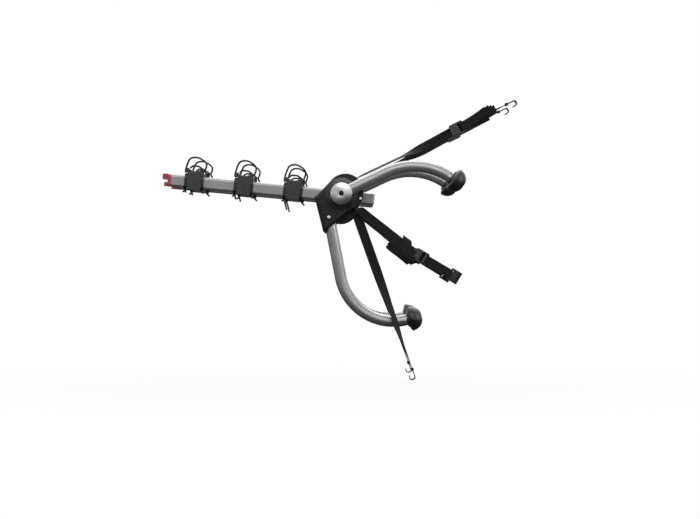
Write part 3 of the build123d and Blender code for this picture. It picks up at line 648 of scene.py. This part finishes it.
# Quads from ring to ring, and a cap at each end of a form that isn't closed
def ringFaces(count, ring, closed):
    faces = []
    for number in range(count if closed else count - 1):
        low, high = number * ring, (number + 1) % count * ring
        for corner in range(ring):
            after = (corner + 1) % ring
            faces.append((low + corner, low + after, high + after, high + corner))
    if not closed:
        faces.append(tuple(reversed(range(ring))))
        faces.append(tuple(range((count - 1) * ring, count * ring)))
    return faces


# A web through rows of centre, across, off and width; a closed one has no ends
def layWeb(name, rows, closed=False):
    vertices, weave = [], []
    ring = len(sectionOf(web["width"]))
    length = 0.0
    for number, (centre, across, off, width) in enumerate(rows):
        if number:
            length += (centre - rows[number - 1][0]).length
        for a, b in sectionOf(width):
            vertices.append(centre + across * a + off * b)
            weave.append((a, length))
    mesh = bpy.data.meshes.new(name)
    mesh.from_pydata(vertices, [], ringFaces(len(rows), ring, closed))
    layer = mesh.uv_layers.new(name="weave")
    for loop in mesh.loops:
        layer.data[loop.index].uv = weave[loop.vertex_index]
    return finishMesh(name, mesh, materials["webbing"])


# Rows of a flat web along a path; turns and widths are tables of share and value
def rowsAlong(path, turns, widths):
    lengths = lengthsOf(path)
    count = max(int(lengths[-1] / web["step"]), web["fewest"])
    rows = []
    for number in range(count + 1):
        share = number / count
        centre, forward = pointAt(path, lengths, share * lengths[-1])
        across = acrossAt(forward, tableAt(turns, share))
        rows.append((centre, across, forward.cross(across), tableAt(widths, share)))
    return rows


def joined(name, pieces):
    bpy.ops.object.select_all(action="DESELECT")
    for piece in pieces:
        piece.select_set(True)
    bpy.context.view_layer.objects.active = pieces[0]
    bpy.ops.object.join()
    pieces[0].name = name
    pieces[0].data.name = name
    pieces[0].select_set(False)
    return pieces[0]


def mirrored(name, piece):
    mesh = piece.data.copy()
    mesh.name = name
    for vertex in mesh.vertices:
        vertex.co.y = -vertex.co.y
    mesh.flip_normals()
    return newObject(name, mesh)


# A sewn eye: the web bent once round a pin that lies along its width
def makeEye(name, centre, forward, pinDirection, radius, width):
    off = pinDirection.cross(forward).normalized()
    rows = []
    for number in range(web["eyeSteps"]):
        angle = 2 * pi * number / web["eyeSteps"]
        outward = forward * cos(angle) + off * sin(angle)
        rows.append((centre + outward * radius, pinDirection, outward, width))
    return layWeb(name, rows, closed=True)


def strapOn(name, route):
    pin, end = Vector(route["pin"]), Vector(route["end"])
    places = [Vector(point) for point in route["middle"]]
    first = ((places[0] if places else end) - pin).normalized()
    last = (end - (places[-1] if places else pin)).normalized()
    begin, finish = pin + first * eyeRadius["pin"], end - last * eyeRadius["bar"]
    path = routeCurve(name + "Route", [begin, *places, finish])
    rows = rowsAlong(path, route["turns"], route["widths"])
    strip = layWeb(name, rows)
    narrow = route["widths"][0][1]
    eye = makeEye(name + "Eye", pin, first, alongAxle, eyeRadius["pin"], narrow)
    barAxis = acrossAt(last, route["turns"][-1][1])
    barWidth = web["width"] - web["barSlack"]
    barEye = makeEye(name + "BarEye", end, last, barAxis, eyeRadius["bar"], barWidth)
    return joined(name, [strip, eye, barEye]), path, rows


# The upper strap's spare end: folded over itself, with its layers fanned
tail = {
    "ends": [(0.4870, 0.2690), (0.4786, 0.2690), (0.4695, 0.2690), (0.4570, 0.2640)],
    "root": 0.01125,
    "rise": 0.0062,
    "layer": 0.0022,
    "straight": 0.045,
    "endSide": -0.2212,
}


def tailOn(name):
    pin, end = Vector(topRoute["pin"]), Vector(topRoute["end"])
    forward = (end - pin).normalized()
    off = forward.cross(acrossAt(forward, 90))
    root = pin + (end - pin) * topRoute["buckle"] + forward * tail["root"] + off * tail["rise"]
    layers = []
    for number, (endX, endZ) in enumerate(tail["ends"]):
        begin = root + off * tail["layer"] * number
        tip = Vector((endX, tail["endSide"] - tail["layer"] * number, endZ))
        path = routeCurve(name + "Route", [begin, begin + forward * tail["straight"], tip])
        width = web["width"]
        rows = rowsAlong(path, [(0.0, 90), (1.0, 90)], [(0.0, width), (1.0, width)])
        layers.append(layWeb(f"{name}{number}", rows))
    return joined(name, layers)


# The side strap's spare end: folded to and fro below the strap, with one turn round it.
# Each run gives where it begins and ends along the strap, and how far below it lies there.
bundle = {
    "runs": [
        (0.138, 0.262, 0.003, 0.004),
        (0.262, 0.181, 0.026, 0.0265),
        (0.176, 0.266, 0.024, 0.0275),
        (0.262, 0.171, 0.017, 0.014),
        (0.180, 0.256, 0.007, 0.010),
    ],
    "runSteps": 8,
    "foldSteps": 6,
    "foldReach": 0.0016,
    "bow": 0.0012,
    "first": 0.0030,
    "layer": 0.0024,
    "wrapMiddle": (0.2262, 0.0095),
    "wrapHalf": 0.0290,
    "wrapSlant": 0.77,
    "wrapFront": 0.0152,
    "wrapBack": 0.0042,
    "wrapSteps": 40,
    "wrapWidth": 1.2,
    "wrapLean": 0.25,
    "wrapFlat": 0.55,
    "wrapDeep": 0.8,
}


def bundleOn(name):
    pin, buckle = Vector(sideRoute["pin"]), Vector(sideRoute["buckle"])
    forward = (buckle - pin).normalized()
    across = acrossAt(forward, 90)
    off = forward.cross(across)
    centres = []
    runs = bundle["runs"]
    for number, (begin, finish, low, high) in enumerate(runs):
        rise = bundle["first"] + bundle["layer"] * number
        for step in range(bundle["runSteps"] + 1):
            part = step / bundle["runSteps"]
            along = begin + (finish - begin) * part
            below = low + (high - low) * part
            bow = bundle["bow"] * sin(pi * part)
            centres.append(pin + forward * along - across * below + off * (rise + bow))
        if number < len(runs) - 1:
            nextBegin, nextLow = runs[number + 1][0], runs[number + 1][2]
            sense = 1 if finish > begin else -1
            for step in range(1, bundle["foldSteps"]):
                part = step / bundle["foldSteps"]
                angle = pi * part
                along = finish + (nextBegin - finish) * part
                along += sense * bundle["foldReach"] * sin(angle)
                below = high + (nextLow - high) * part
                lift = rise + bundle["layer"] * (1 - cos(angle)) / 2
                centres.append(pin + forward * along - across * below + off * lift)
    rows = []
    for number, centre in enumerate(centres):
        before, after = centres[max(number - 1, 0)], centres[min(number + 1, len(centres) - 1)]
        run = (after - before).normalized()
        width = (across - run * across.dot(run)).normalized()
        rows.append((centre, width, run.cross(width), web["width"]))
    folds = layWeb(name + "Folds", rows)
    slanted = -across + forward * bundle["wrapSlant"]
    middle = pin + forward * bundle["wrapMiddle"][0] - across * bundle["wrapMiddle"][1]
    depth = (bundle["wrapFront"] + bundle["wrapBack"]) / 2
    centre = middle + off * (bundle["wrapFront"] - bundle["wrapBack"]) / 2
    wrapRows = []
    broad = web["width"] * bundle["wrapWidth"]
    for number in range(bundle["wrapSteps"]):
        angle = 2 * pi * number / bundle["wrapSteps"]
        flat, deep = cos(angle), sin(angle)
        reach = bundle["wrapHalf"] * copysign(abs(flat) ** bundle["wrapFlat"], flat)
        raised = depth * copysign(abs(deep) ** bundle["wrapDeep"], deep)
        outward = (-across * flat * bundle["wrapLean"] + off * deep).normalized()
        wrapRows.append((centre + slanted * reach + off * raised, forward, outward, broad))
    return joined(name, [folds, layWeb(name + "Wrap", wrapRows, closed=True)])


# Geometry Nodes: small copies of one form along the lines of a plain mesh

facets = {"stitch": {"Segments": 6, "Rings": 4}, "rib": {"Segments": 10, "Rings": 8}}


def rowTree(name, form):
    tree = bpy.data.node_groups.new(name, "GeometryNodeTree")
    addSocket(tree, "Geometry", "NodeSocketGeometry")
    for label in ("Pitch", "Length", "Radius"):
        addSocket(tree, label, "NodeSocketFloat")
    addSocket(tree, "Material", "NodeSocketMaterial")
    addSocket(tree, "Geometry", "NodeSocketGeometry", "OUTPUT")
    given, out = tree.nodes.new("NodeGroupInput"), tree.nodes.new("NodeGroupOutput")
    curve = addNode(tree, "GeometryNodeMeshToCurve", {"Mesh": given.outputs["Geometry"]})
    points = addNode(
        tree,
        "GeometryNodeResampleCurve",
        {"Curve": curve.outputs[0], "Length": given.outputs["Pitch"]},
        mode="LENGTH",
    )
    half = sums(tree, "MULTIPLY", given.outputs["Length"], 0.5)
    thin = given.outputs["Radius"]
    shape = addNode(tree, "GeometryNodeMeshUVSphere", {"Radius": 1.0, **facets[form]})
    if form == "stitch":
        size = addNode(tree, "ShaderNodeCombineXYZ", {"X": half, "Y": thin, "Z": thin})
        tangent = addNode(tree, "GeometryNodeInputTangent").outputs[0]
        turn = addNode(
            tree, "FunctionNodeAlignRotationToVector", {"Vector": tangent}, axis="X"
        ).outputs[0]
    else:
        size = addNode(tree, "ShaderNodeCombineXYZ", {"X": thin, "Y": half, "Z": thin})
        turn = None
    copies = addNode(
        tree,
        "GeometryNodeInstanceOnPoints",
        {"Points": points.outputs[0], "Instance": shape.outputs[0], "Scale": size.outputs[0]},
    )
    if turn:
        tree.links.new(turn, copies.inputs["Rotation"])
    smooth = addNode(tree, "GeometryNodeSetShadeSmooth", {"Geometry": copies.outputs[0]})
    whole = addNode(tree, "GeometryNodeRealizeInstances", {"Geometry": smooth.outputs[0]})
    painted = addNode(
        tree,
        "GeometryNodeSetMaterial",
        {"Geometry": whole.outputs[0], "Material": given.outputs["Material"]},
    )
    tree.links.new(painted.outputs[0], out.inputs[0])
    return tree


def rowsOf(name, tree, lines, values):
    mesh = bpy.data.meshes.new(name + "Lines")
    vertices, edges = [], []
    for line in lines:
        first = len(vertices)
        vertices.extend(line)
        edges.extend((first + number, first + number + 1) for number in range(len(line) - 1))
    mesh.from_pydata(vertices, edges, [])
    holder = newObject(name + "Lines", mesh)
    modifier = holder.modifiers.new("rows", "NODES")
    modifier.node_group = tree
    items = [item for item in tree.interface.items_tree if item.in_out == "INPUT"]
    sockets = {item.name: item.identifier for item in items}
    for label, value in values.items():
        modifier[sockets[label]] = value
    bpy.context.view_layer.update()
    evaluated = holder.evaluated_get(bpy.context.evaluated_depsgraph_get())
    made = bpy.data.meshes.new_from_object(evaluated)
    made.name = name
    bpy.data.objects.remove(holder)
    return newObject(name, made)


stitchTree = rowTree("stitchRows", "stitch")
ribTree = rowTree("gripRibs", "rib")
stitching = {"Pitch": 0.0031, "Length": 0.0023, "Radius": 0.0004, "Material": thread}
sewn = {"inset": 0.0035, "near": 0.006, "far": 0.028, "lift": 0.0001}


# A sewn box with a cross in it, on both faces of the web next to an eye
def boxLines(rows, fromEnd):
    lengths = lengthsOf([row[0] for row in rows])
    placed = list(zip(lengths, rows))
    if fromEnd:
        placed = [(lengths[-1] - length, row) for length, row in reversed(placed)]
    inside = [row for length, row in placed if sewn["near"] <= length <= sewn["far"]]
    lines = []
    for face in (1, -1):
        lift = face * (web["thickness"] / 2 + sewn["lift"])
        reach = [row[3] / 2 - sewn["inset"] for row in inside]
        corner = [
            (row[0] + row[1] * half + row[2] * lift, row[0] - row[1] * half + row[2] * lift)
            for row, half in zip(inside, reach)
        ]
        count = len(inside) - 1
        lines.append([pair[0] for pair in corner])
        lines.append([pair[1] for pair in corner])
        lines.append(list(corner[0]))
        lines.append(list(corner[-1]))
        lines.append([pair[0].lerp(pair[1], number / count) for number, pair in enumerate(corner)])
        lines.append([pair[1].lerp(pair[0], number / count) for number, pair in enumerate(corner)])
    return lines


# Tall cradle straps: a smooth rubber arch from its eye, over the saddle and past the catch bar.
# The points lie along and off the arm from the eye; the second value is a share of the rise.
arch = {
    "along": [-0.0028, 0.0033, 0.0178, 0.0373, 0.0618, 0.0632, 0.0571, 0.0651],
    "shares": [0.072, 0.80, 1.0, 1.0, 0.72, 0.42, 0.105, -0.085],
    "rises": (0.0458, 0.0502, 0.0524),
    "width": 0.013,
    "thickness": 0.0054,
    "corner": 0.0013,
    "cornerTurns": (0, 30, 60, 90),
    "groove": 1.8,
    "rib": 0.0005,
    "step": 0.002,
    "eyeInset": (0.0055, 0.0117),
    "eyeRadius": 0.0041,
    "eyeThickness": 0.0027,
    "eyeCorner": 0.0005,
    "eyeSteps": 32,
    "tilt": 5.4,
}


def bandSection(width, thickness, corner, rib=0.0):
    half, edge = width / 2, thickness / 2
    quarter = []
    for angle in arch["cornerTurns"]:
        turn = radians(angle)
        quarter.append((half - corner + corner * cos(turn), edge - corner + corner * sin(turn)))
    inner = half - corner * arch["groove"]
    upper = quarter + [(inner, edge), (inner - rib, edge - rib)]
    upper += [(-a, b) for a, b in reversed(upper)]
    return upper + [(-a, -b) for a, b in upper]


def layBand(name, rows, section, closed=False):
    vertices = [centre + across * a + off * b for centre, across, off in rows for a, b in section]
    mesh = bpy.data.meshes.new(name)
    mesh.from_pydata(vertices, [], ringFaces(len(rows), len(section), closed))
    return finishMesh(name, mesh, materials["strap_rubber"])


def archOn(number):
    node = f"tall_strap_{number}_right"
    low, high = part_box(node)
    tilt = radians(arch["tilt"])
    along = Vector((cos(tilt), 0, -sin(tilt)))
    up = Vector((-along.z, 0, along.x))
    inward, upward = arch["eyeInset"]
    eye = Vector((low[0] + inward, (low[1] + high[1]) / 2, low[2] + upward))
    rise = arch["rises"][number - 1]
    places = [eye + along * a + up * rise * b for a, b in zip(arch["along"], arch["shares"])]
    path = routeCurve(f"arch{number}", places)
    lengths = lengthsOf(path)
    count = int(lengths[-1] / arch["step"])
    rows = []
    for step in range(count + 1):
        centre, forward = pointAt(path, lengths, lengths[-1] * step / count)
        rows.append((centre, alongAxle, forward.cross(alongAxle)))
    section = bandSection(arch["width"], arch["thickness"], arch["corner"], arch["rib"])
    strip = layBand(f"tall_strap_{number}_finished_right", rows, section)
    turns = []
    for step in range(arch["eyeSteps"]):
        angle = 2 * pi * step / arch["eyeSteps"]
        outward = along * cos(angle) + up * sin(angle)
        turns.append((eye + outward * arch["eyeRadius"], alongAxle, outward))
    section = bandSection(arch["width"], arch["eyeThickness"], arch["eyeCorner"])
    ring = layBand(f"archEye{number}", turns, section, closed=True)
    return joined(f"tall_strap_{number}_finished_right", [strip, ring])


# Grip ribs across the outer face of a cradle strap's front half
ribs = {"Pitch": 0.0042, "Length": 0.0105, "Radius": 0.0007, "Material": materials["strap_rubber"]}
ribFan = {"lowest": -6, "highest": 62, "steps": 18, "reach": 0.12}


def ribLine(mesh):
    tree = BVHTree.FromPolygons([v.co for v in mesh.vertices], [p.vertices for p in mesh.polygons])
    xs, ys, zs = zip(*(v.co for v in mesh.vertices))
    middle = Vector((min(xs) + max(xs), min(ys) + max(ys), min(zs) + max(zs))) / 2
    line = []
    for number in range(ribFan["steps"]):
        share = number / (ribFan["steps"] - 1)
        angle = radians(ribFan["lowest"] + (ribFan["highest"] - ribFan["lowest"]) * share)
        outward = Vector((cos(angle), 0, sin(angle)))
        place = tree.ray_cast(middle + outward * ribFan["reach"], -outward)[0]
        if place:
            line.append(place)
    return line


for number in (1, 2, 3):
    strap = archOn(number)
    grips = rowsOf(f"grip_ribs_{number}_right", ribTree, [ribLine(strap.data)], ribs)
    for side in sides:
        if side == "left":
            strap = mirrored(f"tall_strap_{number}_finished_left", strap)
            grips = mirrored(f"grip_ribs_{number}_left", grips)
        for piece in (strap, grips):
            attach(piece, f"tall_strap_{number}_{side}")
        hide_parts(f"tall_strap_{number}_{side}")
print("tall straps and grip ribs placed")


def layStrap(kind, route, extra):
    piece, path, rows = strapOn(f"{kind}_web_right", route)
    lines = boxLines(rows, False) + boxLines(rows, True)
    sewing = rowsOf(f"{kind}_stitches_right", stitchTree, lines, stitching)
    spare = extra(f"{kind}_spare_right") if extra else None
    for side in sides:
        own, ownPath, ownSewing, ownSpare = piece, path, sewing, spare
        if side == "left":
            own = mirrored(f"{kind}_web_left", piece)
            ownPath = [Vector((point.x, -point.y, point.z)) for point in path]
            ownSewing = mirrored(f"{kind}_stitches_left", sewing)
            ownSpare = mirrored(f"{kind}_spare_left", spare) if spare else None
        for part in (own, ownSewing, ownSpare):
            if part:
                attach(part, "frame")
        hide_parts(f"{kind}_strap_{side}")


buckle = Vector(sideRoute["buckle"])
lastRun = (Vector(sideRoute["end"]) - buckle).normalized()
sideRoute["middle"] = [buckle - lastRun * before for before in sideRoute["straight"]] + [buckle]
layStrap("top", topRoute, tailOn)
layStrap("side", sideRoute, bundleOn)
layStrap("lower", lowerRoute, None)
print("webbing laid")


# Smooth copies of the pieces with round faces, because their own triangles are loose

bodies = frame["record"]["behaviour"]["bodies"]
bodyOf = {node: body for body, members in bodies.items() for node in members}
rounded = [
    "lower_leg", "upper_leg", "carrier_arm", "lower_pad", "upper_pad", "hub_cap", "clutch_disc",
    "hub_bracket", "arm_end_cap", "cradle_1", "cradle_2", "cradle_3", "keeper_straps",
]


def smoothCopy(node):
    mesh = nodes[node].data.copy()
    made = bmesh.new()
    made.from_mesh(mesh)
    bmesh.ops.remove_doubles(made, verts=made.verts, dist=smoothing["merge"])
    made.to_mesh(mesh)
    made.free()
    if "custom_normal" in mesh.attributes:
        mesh.attributes.remove(mesh.attributes["custom_normal"])
    mesh.shade_smooth()
    mesh.set_sharp_from_angle(angle=radians(smoothing["sharp"]))
    holder = newObject(node + "_holder", mesh)
    weighted = holder.modifiers.new("weighted", "WEIGHTED_NORMAL")
    weighted.keep_sharp = True
    bpy.context.view_layer.update()
    evaluated = holder.evaluated_get(bpy.context.evaluated_depsgraph_get())
    smooth = bpy.data.meshes.new_from_object(evaluated)
    smooth.name = node + "_finished"
    bpy.data.objects.remove(holder)
    piece = newObject(node + "_finished", smooth)
    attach(piece, bodyOf[node])
    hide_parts(node)


for kind in rounded:
    for side in sides:
        smoothCopy(f"{kind}_{side}")
print("round pieces finished")


# Camera, light and stage

view = {
    "lens": 132.2,
    "sensor": 36.0,
    "place": (0.0272, -8.333, -0.2071),
    "turn": (pi / 2, 0.0, 0.0),
}
camera = newObject("camera", bpy.data.cameras.new("camera"))
camera.data.lens = view["lens"]
camera.data.sensor_width = view["sensor"]
camera.location = view["place"]
camera.rotation_euler = view["turn"]
scene.camera = camera

# Each light: its place, the point that it faces, its size and its power
lights = {
    "overhead": ((0.0, 1.2, 2.5), (0.0, 0.2, 0.0), (4.2, 2.4), 92.0),
    "front": ((0.2, -3.3, 1.9), (0.0, 0.0, -0.1), (2.4, 1.3), 30.0),
    "right": ((2.9, -1.1, 0.3), (0.1, 0.0, -0.1), (0.7, 2.2), 24.0),
    "left": ((-2.8, -1.3, 0.6), (0.0, 0.0, -0.1), (0.7, 1.6), 12.0),
    "rear": ((0.8, 3.2, 1.2), (0.1, 0.0, 0.0), (1.4, 1.4), 34.0),
}


def areaLight(name, place, target, size, power):
    light = bpy.data.lights.new(name, "AREA")
    light.shape = "RECTANGLE"
    light.size, light.size_y = size
    light.energy = power
    lamp = newObject(name, light)
    lamp.location = place
    lamp.rotation_euler = (Vector(target) - Vector(place)).to_track_quat("-Z", "Y").to_euler()


for name, (place, target, size, power) in lights.items():
    areaLight(name, place, target, size, power)

studio = {"fill": (0.055, 0.055, 0.056, 1.0), "white": (1.0, 1.0, 1.0, 1.0)}
scene.view_settings.view_transform = "Standard"
world = bpy.data.worlds.new("studio")
scene.world = world
world.use_nodes = True
tree = world.node_tree
background = tree.nodes["Background"]
ray = tree.nodes.new("ShaderNodeLightPath")
seen = sums(tree, "MAXIMUM", ray.outputs["Is Camera Ray"], ray.outputs["Is Transmission Ray"])
seen = sums(tree, "MAXIMUM", seen, ray.outputs["Is Glossy Ray"])
tree.links.new(mixColour(tree, seen, studio["fill"], studio["white"]), background.inputs["Color"])
background.inputs["Strength"].default_value = 1.0

# The floor is white to the camera, and keeps a soft shadow under the rack
floor = {
    "half": 14.0,
    "drop": 0.03,
    "colour": (0.6, 0.6, 0.6, 1.0),
    "dark": (0.05, 0.05, 0.05, 1.0),
    "roughness": 0.9,
    "specular": 0.1,
    "near": 0.93,
    "nearReach": 0.5,
    "farReach": 1.9,
    "glossy": 0.02,
}
low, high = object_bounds()
mesh = bpy.data.meshes.new("floor")
half, level = floor["half"], low.z - floor["drop"]
mesh.from_pydata(
    [(-half, -half, level), (half, -half, level), (half, half, level), (-half, half, level)],
    [],
    [(0, 1, 2, 3)],
)
floorPiece = newObject("floor", mesh)
material, tree, shader = startMaterial("paleFloor")
shader.inputs["Roughness"].default_value = floor["roughness"]
shader.inputs["Specular IOR Level"].default_value = floor["specular"]
glow = addNode(tree, "ShaderNodeEmission", {"Color": studio["white"], "Strength": 1.0})
ray = tree.nodes.new("ShaderNodeLightPath")
pale = mixColour(tree, ray.outputs["Is Camera Ray"], floor["dark"], floor["colour"])
tree.links.new(pale, shader.inputs["Base Color"])
away = addNode(
    tree,
    "ShaderNodeVectorMath",
    {0: addNode(tree, "ShaderNodeTexCoord").outputs["Object"]},
    operation="LENGTH",
).outputs["Value"]
share = addNode(
    tree,
    "ShaderNodeMapRange",
    {
        "Value": away,
        "From Min": floor["nearReach"],
        "From Max": floor["farReach"],
        "To Min": floor["near"],
        "To Max": 1.0,
    },
).outputs[0]
seen = sums(tree, "MAXIMUM", ray.outputs["Is Camera Ray"], ray.outputs["Is Transmission Ray"])
mirrorShare = sums(tree, "MULTIPLY", ray.outputs["Is Glossy Ray"], floor["glossy"])
factor = sums(tree, "MULTIPLY", sums(tree, "MAXIMUM", seen, mirrorShare), share)
blend = addNode(tree, "ShaderNodeMixShader", {0: factor, 1: shader.outputs[0], 2: glow.outputs[0]})
tree.links.new(blend.outputs[0], tree.nodes["Material Output"].inputs["Surface"])
floorPiece.data.materials.append(material)
floorPiece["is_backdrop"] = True
print("stage set")

low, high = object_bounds()
